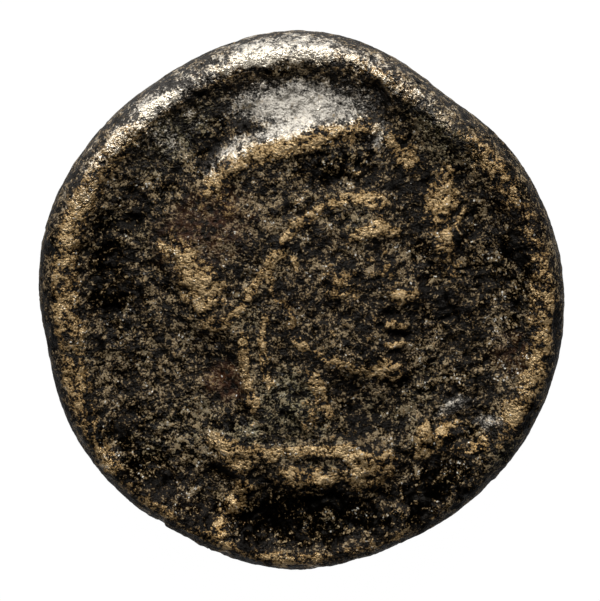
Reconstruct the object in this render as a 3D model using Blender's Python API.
"""An ancient struck bronze coin, worn nearly smooth, lying on its back with the head side up.

Units are metres and +Z is up. The coin rests on the plane z = 0 with the middle of its box over the
origin. +Y is up for the head on the upper face, and +X is the way that the head looks. A coin is one
piece of metal, so the model is one object.

The flan is the round lump of bronze that was struck. Its edge is a circle with a few lobes and flats.
Each face is a dish inside a raised rim, and the dies left a helmeted head on the upper face and a rayed
star on the lower one. Both are low, soft mounds today.
"""

import math

import bmesh
import bpy
import numpy as np
from mathutils import Vector, noise

# The flan
FLAN_WIDTH = 0.0200  # across the circle that the lobes stand out from
FLAN_THICKNESS = 0.0042  # from the land under the coin to the upper rim
GIRTH_SHARE = 0.46  # how far up the edge is widest, as a share of the thickness
EDGE_FULLNESS = 0.85  # below 1 the edge is squarer than a half circle

# The upper face, which the camera sees
RIM_INSET = 0.00078  # from the edge of the flan in to the crest of the rim
RIM_SLOPE = 0.00150  # from the crest in to the bottom of the dish
DISH_DEPTH = 0.00062  # from the crest down to the bottom of the dish
FIELD_SWELL = 0.00016  # how far the middle of the field rises over its border

# The bust on the upper face
HEAD_HEIGHT = 0.0096  # from the crown to the chin
HEAD_ACROSS = -0.0002  # the middle of the head, from the middle of the coin
HEAD_UP = 0.0016
HEAD_LEAN = 3.0  # degrees that the head leans back
HEAD_RISE = 0.00046  # how far the bust stands over the field
WEAR_LEVEL = 0.00047  # the relief over this height is rubbed down
WEAR_SHARE = 0.43  # what the rubbing left of it
WEAR_BEND = 0.00010  # the height over which the rubbing sets in
RELIEF_SINK = 0.00007  # how far the border of the relief lies below the bottom of the rim
RELIEF_BEND = 0.00016  # the rounding where the relief meets the rim

# The lower face, which the coin rests on
LAND_INSET = 0.00095  # from the edge of the flan in to the flat land
LAND_WIDTH = 0.00055
BACK_SLOPE = 0.00160  # from the land in to the bottom of the lower dish
BACK_DEPTH = 0.00042
STAR_SPAN = 0.0104  # from the tip of one ray to the tip of the one across
STAR_RAYS = 8
STAR_RISE = 0.00022
STAR_BOSS = 0.0028  # across the boss in the middle
RAY_WIDTH = 0.0014  # across a ray where it leaves the boss

# Old unevenness of the metal
WAVE_LENGTH = 0.0024
WAVE_HEIGHT = 0.00004

# The mesh
FACE_CELLS = 116  # cells across each face before the mesh is thinned
WALL_STEPS = 12  # rows of cells down the edge
TRIANGLES = 9800
LAND_SNAP = 0.000003  # thinning lifts the land by less than this, and it is set flat again

# How far the edge of the flan stands out or in: degrees round from +X, metres, spread in degrees
EDGE_LOBES = (
    (28, -0.00014, 12),
    (54, -0.00048, 11),
    (92, 0.00022, 11),
    (124, -0.00006, 9),
    (160, 0.00010, 9),
    (191, -0.00018, 8),
    (222, 0.00008, 10),
    (267, 0.00029, 12),
    (326, 0.00006, 14),
)
# How much wider the rim is in places
RIM_LOBES = (
    (20, 0.00018, 26),
    (172, 0.00030, 22),
    (322, 0.00022, 12),
    (268, -0.00020, 30),
)
# How much lower or higher the rim is in places
HEIGHT_LOBES = (
    (205, -0.00005, 20),
    (318, -0.00012, 14),
    (80, 0.00004, 30),
)

# The bust is drawn in heads: 1 is from crown to chin, the first number of a pair is forward, the second
# is up, and the middle of the head is (0, 0). The proportions are those of a drawing book: the eye halfway
# up, and the brow, the base of the nose and the chin each two sevenths of a head apart.
HEAD_OUTLINE = (
    (0.02, 0.500),
    (0.17, 0.474),
    (0.28, 0.400),
    (0.35, 0.290),
    (0.385, 0.170),
    (0.395, 0.085),
    (0.380, 0.030),
    (0.425, -0.060),
    (0.478, -0.150),
    (0.455, -0.198),
    (0.398, -0.214),
    (0.410, -0.250),
    (0.422, -0.282),
    (0.388, -0.309),
    (0.412, -0.338),
    (0.380, -0.376),
    (0.396, -0.430),
    (0.362, -0.484),
    (0.285, -0.500),
    (0.165, -0.440),
    (0.110, -0.520),
    (0.125, -0.630),
    (0.235, -0.715),
    (0.350, -0.795),
    (0.215, -0.880),
    (0.000, -0.905),
    (-0.200, -0.865),
    (-0.345, -0.765),
    (-0.385, -0.670),
    (-0.265, -0.590),
    (-0.225, -0.470),
    (-0.290, -0.330),
    (-0.400, -0.230),
    (-0.455, -0.050),
    (-0.450, 0.130),
    (-0.375, 0.320),
    (-0.200, 0.455),
)
HEAD_ROLL = 0.085  # how far in from the outline the bust reaches its full rise

# Mounds on the bust and beside it: forward, up, half length, half width, turn in degrees, share of HEAD_RISE
HEAD_MOUNDS = (
    (0.020, 0.500, 0.440, 0.240, 12, 0.42),  # plume, which falls away to the rim
    (-0.230, 0.060, 0.290, 0.340, 8, 0.26),  # back of the helmet
    (0.150, -0.120, 0.330, 0.400, 12, 0.28),  # swell of the whole face
    (0.330, 0.160, 0.090, 0.130, 8, 0.16),  # forehead
    (0.170, -0.105, 0.170, 0.125, -18, 0.32),  # cheek
    (0.272, 0.010, 0.105, 0.068, 4, -0.44),  # socket of the eye
    (0.280, 0.000, 0.060, 0.042, 0, 0.42),  # eyeball
    (0.398, -0.165, 0.058, 0.050, 0, 0.28),  # wing of the nose
    (0.380, -0.268, 0.062, 0.036, -6, 0.18),  # upper lip
    (0.372, -0.348, 0.060, 0.036, 8, 0.18),  # lower lip
    (0.340, -0.435, 0.090, 0.070, 0, 0.34),  # chin
    (0.100, -0.310, 0.170, 0.115, -30, 0.16),  # side of the jaw
    (0.020, -0.560, 0.140, 0.220, 8, 0.30),  # neck
    (-0.260, -0.790, 0.160, 0.110, -20, 0.32),  # folds of the cloak
    (0.020, -0.870, 0.200, 0.100, 4, 0.36),
    (0.260, -0.840, 0.160, 0.120, 34, 0.38),
)
# Ridges and furrows: half width, share of HEAD_RISE, then the points that the line runs through
HEAD_RIDGES = (
    # crest of the helmet
    (0.082, 0.56, ((-0.370, 0.270), (-0.215, 0.395), (-0.030, 0.450), (0.170, 0.510),
                   (0.330, 0.490), (0.460, 0.350))),
    # tail of the plume, which hangs behind the helmet
    (0.130, 0.48, ((-0.390, 0.370), (-0.510, 0.200), (-0.470, 0.040), (-0.370, -0.080), (-0.400, -0.260))),
    # what is left of a mark before the head
    (0.120, 0.54, ((0.640, 0.400), (0.605, 0.260), (0.590, 0.120), (0.600, -0.080))),
    # brow, upper lid, parting of the lips and fold of the cheek
    (0.040, 0.30, ((0.440, 0.075), (0.380, 0.105), (0.300, 0.114), (0.170, 0.070))),
    (0.026, 0.18, ((0.365, 0.000), (0.330, 0.030), (0.270, 0.040), (0.190, -0.005))),
    (0.024, -0.16, ((0.430, -0.309), (0.345, -0.311), (0.285, -0.322))),
    (0.034, -0.12, ((0.380, -0.190), (0.318, -0.262), (0.300, -0.350))),
    # edge of the jaw, and the ear
    (0.048, 0.24, ((0.330, -0.470), (0.120, -0.398), (-0.010, -0.290), (-0.050, -0.100))),
    (0.034, 0.27, ((-0.020, -0.200), (-0.100, -0.110), (-0.085, 0.020), (-0.015, 0.015), (0.000, -0.090))),
    # brim of the helmet, which runs back into its neck guard
    (0.048, 0.35, ((0.440, 0.200), (0.225, 0.238), (0.065, 0.178), (-0.050, 0.075), (-0.165, -0.085),
                   (-0.290, -0.220), (-0.440, -0.240))),
    # locks on the neck, and the sinew of the neck
    (0.044, 0.26, ((-0.110, -0.150), (-0.150, -0.330), (-0.110, -0.520))),
    (0.044, 0.26, ((-0.200, -0.220), (-0.225, -0.400), (-0.180, -0.600))),
    (0.048, 0.24, ((-0.040, -0.280), (0.060, -0.480), (0.135, -0.660))),
    # hem of the cloak, and a fold under it
    (0.048, 0.36, ((-0.400, -0.670), (-0.180, -0.735), (0.040, -0.745), (0.290, -0.775))),
    (0.042, 0.22, ((-0.160, -0.740), (-0.060, -0.830), (0.140, -0.870))),
)
RIDGE_TAPER = 0.24  # the share of a line over which a ridge rises at each end

# Strokes beside the rim: x, y of both ends from the middle of the coin, half width, height
FIELD_STROKES = (
    (-0.0037, -0.0092, -0.0018, -0.0065, 0.00075, 0.00036),
    (0.0040, -0.0047, 0.0073, -0.0061, 0.00110, 0.00030),
)


def bell_sum(angle, lobes):
    """The sum of the lobes at an angle, in metres. A lobe is a bell curve round the coin."""
    total = np.zeros_like(angle)
    for degrees, height, spread in lobes:
        away = np.degrees(np.angle(np.exp(1j * (angle - math.radians(degrees)))))
        total += height * np.exp(-0.5 * (away / spread) ** 2)
    return total


def edge_radius(angle):
    return FLAN_WIDTH / 2 + bell_sum(angle, EDGE_LOBES)


def crest_radius(angle):
    """How far out the crest of the upper rim lies."""
    return edge_radius(angle) - RIM_INSET - bell_sum(angle, RIM_LOBES) / 2


def crest_height(angle):
    return FLAN_THICKNESS + bell_sum(angle, HEIGHT_LOBES)


def land_radius(angle):
    """The outer edge of the land under the coin."""
    return edge_radius(angle) - LAND_INSET


def soft_step(share):
    """Rises from 0 to 1 as share does, level at both ends."""
    share = np.clip(share, 0, 1)
    return share * share * (3 - 2 * share)


def soft_top(first, second, bend):
    """The higher of two heights, rounded where they cross."""
    return (first + second + np.sqrt((first - second) ** 2 + bend**2)) / 2


def curve_through(points, closed=False, steps=5):
    """A smooth line through the points, as an array of its own points."""
    count = len(points)
    spans = count if closed else count - 1
    line = []
    for i in range(spans):
        if closed:
            near = [points[(i + k) % count] for k in (-1, 0, 1, 2)]
        else:
            near = [points[min(max(i + k, 0), count - 1)] for k in (-1, 0, 1, 2)]
        p0, p1, p2, p3 = (np.array(p, float) for p in near)
        for step in range(steps):
            t = step / steps
            bent = (2 * p0 - 5 * p1 + 4 * p2 - p3) * t**2 + (3 * p1 - p0 - 3 * p2 + p3) * t**3
            line.append((2 * p1 + (p2 - p0) * t + bent) / 2)
    line.append(line[0] if closed else np.array(points[-1], float))
    return np.array(line)


def distance_to(x, y, line):
    """How far each point lies from the line, and the share of the line passed at the nearest place."""
    nearest = np.full(x.shape, np.inf)
    passed = np.zeros(x.shape)
    for i, ((ax, ay), (bx, by)) in enumerate(zip(line[:-1], line[1:])):
        dx, dy = bx - ax, by - ay
        length = max(dx * dx + dy * dy, 1e-18)
        t = np.clip(((x - ax) * dx + (y - ay) * dy) / length, 0, 1)
        away = np.hypot(x - ax - t * dx, y - ay - t * dy)
        passed = np.where(away < nearest, (i + t) / (len(line) - 1), passed)
        nearest = np.minimum(nearest, away)
    return nearest, passed


def inside(x, y, line):
    """True for each point inside the closed line."""
    found = np.zeros(x.shape, bool)
    for (ax, ay), (bx, by) in zip(line[:-1], line[1:]):
        if ay != by:
            crosses = (ay > y) != (by > y)
            found ^= crosses & (x < (bx - ax) * (y - ay) / (by - ay) + ax)
    return found


def mound(x, y, across, up, half_length, half_width, turn):
    """1 in the middle of an ellipse, falling smoothly to 0 at its edge."""
    c, s = math.cos(math.radians(turn)), math.sin(math.radians(turn))
    along = ((x - across) * c + (y - up) * s) / half_length
    aside = ((y - up) * c - (x - across) * s) / half_width
    return np.clip(1 - along**2 - aside**2, 0, 1) ** 2


def ridge(x, y, points, half_width):
    """1 along a line through the points, falling smoothly to 0 on both sides and at both ends."""
    away, passed = distance_to(x, y, curve_through(points))
    taper = soft_step(np.minimum(passed, 1 - passed) / RIDGE_TAPER)
    return np.clip(1 - (away / half_width) ** 2, 0, 1) ** 2 * taper


def bust_height(x, y):
    """How far the bust stands over the field, in metres."""
    c, s = math.cos(math.radians(HEAD_LEAN)), math.sin(math.radians(HEAD_LEAN))
    forward = ((x - HEAD_ACROSS) * c + (y - HEAD_UP) * s) / HEAD_HEIGHT
    up = ((y - HEAD_UP) * c - (x - HEAD_ACROSS) * s) / HEAD_HEIGHT
    outline = curve_through(HEAD_OUTLINE, closed=True)
    depth = distance_to(forward, up, outline)[0] * np.where(inside(forward, up, outline), 1, -1)
    share = soft_step(0.5 + depth / HEAD_ROLL / 2)
    for across, height, half_length, half_width, turn, rise in HEAD_MOUNDS:
        share = share + rise * mound(forward, up, across, height, half_length, half_width, turn)
    for half_width, rise, points in HEAD_RIDGES:
        share = share + rise * ridge(forward, up, points, half_width)
    return HEAD_RISE * share


def worn(height):
    """Rubs down what stands higher than the rest."""
    over = soft_top(height - WEAR_LEVEL, 0, WEAR_BEND)
    return height - (1 - WEAR_SHARE) * over


def waves(x, y, layer):
    """The old unevenness of the metal, the same at every run."""
    places = zip(x / WAVE_LENGTH, y / WAVE_LENGTH)
    return WAVE_HEIGHT * np.array([noise.noise(Vector((a, b, layer))) for a, b in places])


def upper_height(x, y):
    """The height of the upper face over the plane that the coin rests on."""
    angle = np.arctan2(y, x)
    from_crest = crest_radius(angle) - np.hypot(x, y)
    slope = RIM_SLOPE + bell_sum(angle, RIM_LOBES)
    top = crest_height(angle)
    rim = top - DISH_DEPTH * soft_step(from_crest / slope)
    middle = 1 - (np.hypot(x, y) / crest_radius(angle)) ** 2
    field = FLAN_THICKNESS - DISH_DEPTH + FIELD_SWELL * middle
    relief = bust_height(x, y)
    for ax, ay, bx, by, half_width, height in FIELD_STROKES:
        relief = relief + height * ridge(x, y, ((ax, ay), (bx, by)), half_width)
    relief = worn(relief) + waves(x, y, 0.5)
    calm = soft_step(from_crest / slope)
    return soft_top(rim, field + relief * calm - RELIEF_SINK, RELIEF_BEND)


def lower_height(x, y):
    """The height of the lower face. It is 0 on the land and more inside it."""
    angle = np.arctan2(y, x)
    radius = np.hypot(x, y)
    from_land = land_radius(angle) - LAND_WIDTH - radius
    dish = soft_step(from_land / BACK_SLOPE)
    ray = np.abs(np.angle(np.exp(1j * STAR_RAYS * angle))) / STAR_RAYS * radius
    reach = np.sqrt(np.clip(1 - radius / (STAR_SPAN / 2), 0, 1))
    ray_half_width = RAY_WIDTH / 2 * reach + 1e-9
    star = np.clip(1 - (ray / ray_half_width) ** 2, 0, 1) ** 2 * reach
    boss = np.clip(1 - (radius / (STAR_BOSS / 2)) ** 2, 0, 1)
    relief = STAR_RISE * np.maximum(star, boss) - waves(x, y, 7.5)
    return dish * (BACK_DEPTH - relief)


def wall_point(angle, share):
    """A point of the edge, from the crest of the upper rim at share 0 to the land at share 1."""
    crest, land, edge = crest_radius(angle), land_radius(angle), edge_radius(angle)
    top = crest_height(angle)
    girth = FLAN_THICKNESS * GIRTH_SHARE
    turn = share * math.pi
    out = math.sin(turn) ** EDGE_FULLNESS
    away = abs(math.cos(turn)) ** (2 - EDGE_FULLNESS)
    if turn < math.pi / 2:
        return crest + (edge - crest) * out, girth + (top - girth) * away
    return land + (edge - land) * out, girth - girth * away


def square_to_disc(a, b):
    """Share of the radius and angle where a point of the square from -1 to 1 lands on the disc."""
    wide = np.abs(a) >= np.abs(b)
    lead = np.where(wide, a, b)
    other = np.where(wide, b, a)
    turn = math.pi / 4 * other / np.where(lead == 0, 1, lead)
    angle = np.where(wide, turn, math.pi / 2 - turn) + np.where(lead < 0, math.pi, 0)
    return np.abs(lead), angle


def add_coin_face(mesh, outer_radius, height_of, upwards):
    """Adds one face of the coin, a round grid, and returns its border edges."""
    grid = bmesh.ops.create_grid(mesh, x_segments=FACE_CELLS, y_segments=FACE_CELLS, size=1)
    flat = np.array([v.co for v in grid["verts"]])
    share, angle = square_to_disc(flat[:, 0], flat[:, 1])
    radius = share * outer_radius(angle)
    x, y = radius * np.cos(angle), radius * np.sin(angle)
    for vertex, place in zip(grid["verts"], zip(x, y, height_of(x, y))):
        vertex.co = place
    faces = {face for vertex in grid["verts"] for face in vertex.link_faces}
    if not upwards:
        bmesh.ops.reverse_faces(mesh, faces=list(faces))
    return [edge for edge in {edge for face in faces for edge in face.edges} if edge.is_boundary]


def add_edge_wall(mesh, border):
    """Draws the edge of the flan down from the border of the upper face to the land."""
    for step in range(1, WALL_STEPS + 1):
        made = bmesh.ops.extrude_edge_only(mesh, edges=border)["geom"]
        corners = [part for part in made if isinstance(part, bmesh.types.BMVert)]
        border = [part for part in made if isinstance(part, bmesh.types.BMEdge) and part.is_boundary]
        angle = np.array([math.atan2(v.co.y, v.co.x) for v in corners])
        radius, height = wall_point(angle, step / WALL_STEPS)
        height = np.broadcast_to(height, radius.shape)
        for vertex, r, a, z in zip(corners, radius, angle, height):
            vertex.co = (r * math.cos(a), r * math.sin(a), z)


def struck_mesh():
    """The whole skin of the coin, as one closed mesh."""
    mesh = bmesh.new()
    border = add_coin_face(mesh, crest_radius, upper_height, upwards=True)
    add_edge_wall(mesh, border)
    add_coin_face(mesh, land_radius, lower_height, upwards=False)
    bmesh.ops.remove_doubles(mesh, verts=mesh.verts, dist=1e-7)
    bmesh.ops.recalc_face_normals(mesh, faces=mesh.faces)
    bmesh.ops.triangulate(mesh, faces=mesh.faces)
    return mesh


def thinned(coin):
    """Thins the mesh to the wanted number of triangles, most where the coin is plain."""
    thinning = coin.modifiers.new("thinning", "DECIMATE")
    thinning.ratio = min(1, TRIANGLES / len(coin.data.polygons))
    graph = bpy.context.evaluated_depsgraph_get()
    mesh = bpy.data.meshes.new_from_object(coin.evaluated_get(graph))
    coin.modifiers.remove(thinning)
    return mesh


def settle(mesh):
    """Sets the land flat on z = 0 and the middle of the box over the origin."""
    corners = np.empty(len(mesh.vertices) * 3, np.float32)
    mesh.vertices.foreach_get("co", corners)
    corners = corners.reshape(-1, 3)
    corners[corners[:, 2] < LAND_SNAP, 2] = 0
    middle = (corners.min(0) + corners.max(0)) / 2
    corners[:, :2] -= middle[:2]
    mesh.vertices.foreach_set("co", corners.ravel())


def bronze():
    """Old bronze, brown black with a little of the metal's warmth."""
    material = bpy.data.materials.new("patinated bronze")
    material.use_nodes = True
    shader = material.node_tree.nodes["Principled BSDF"]
    shader.inputs["Base Color"].default_value = (0.075, 0.058, 0.036, 1)
    shader.inputs["Metallic"].default_value = 0.7
    shader.inputs["Roughness"].default_value = 0.48
    return material


def build():
    for obj in list(bpy.data.objects):
        bpy.data.objects.remove(obj)
    skin = struck_mesh()
    dense = bpy.data.meshes.new("coin")
    skin.to_mesh(dense)
    skin.free()
    coin = bpy.data.objects.new("coin", dense)
    bpy.context.scene.collection.objects.link(coin)
    coin.data = thinned(coin)
    settle(coin.data)
    coin.data.shade_smooth()
    coin.data.materials.append(bronze())


build()
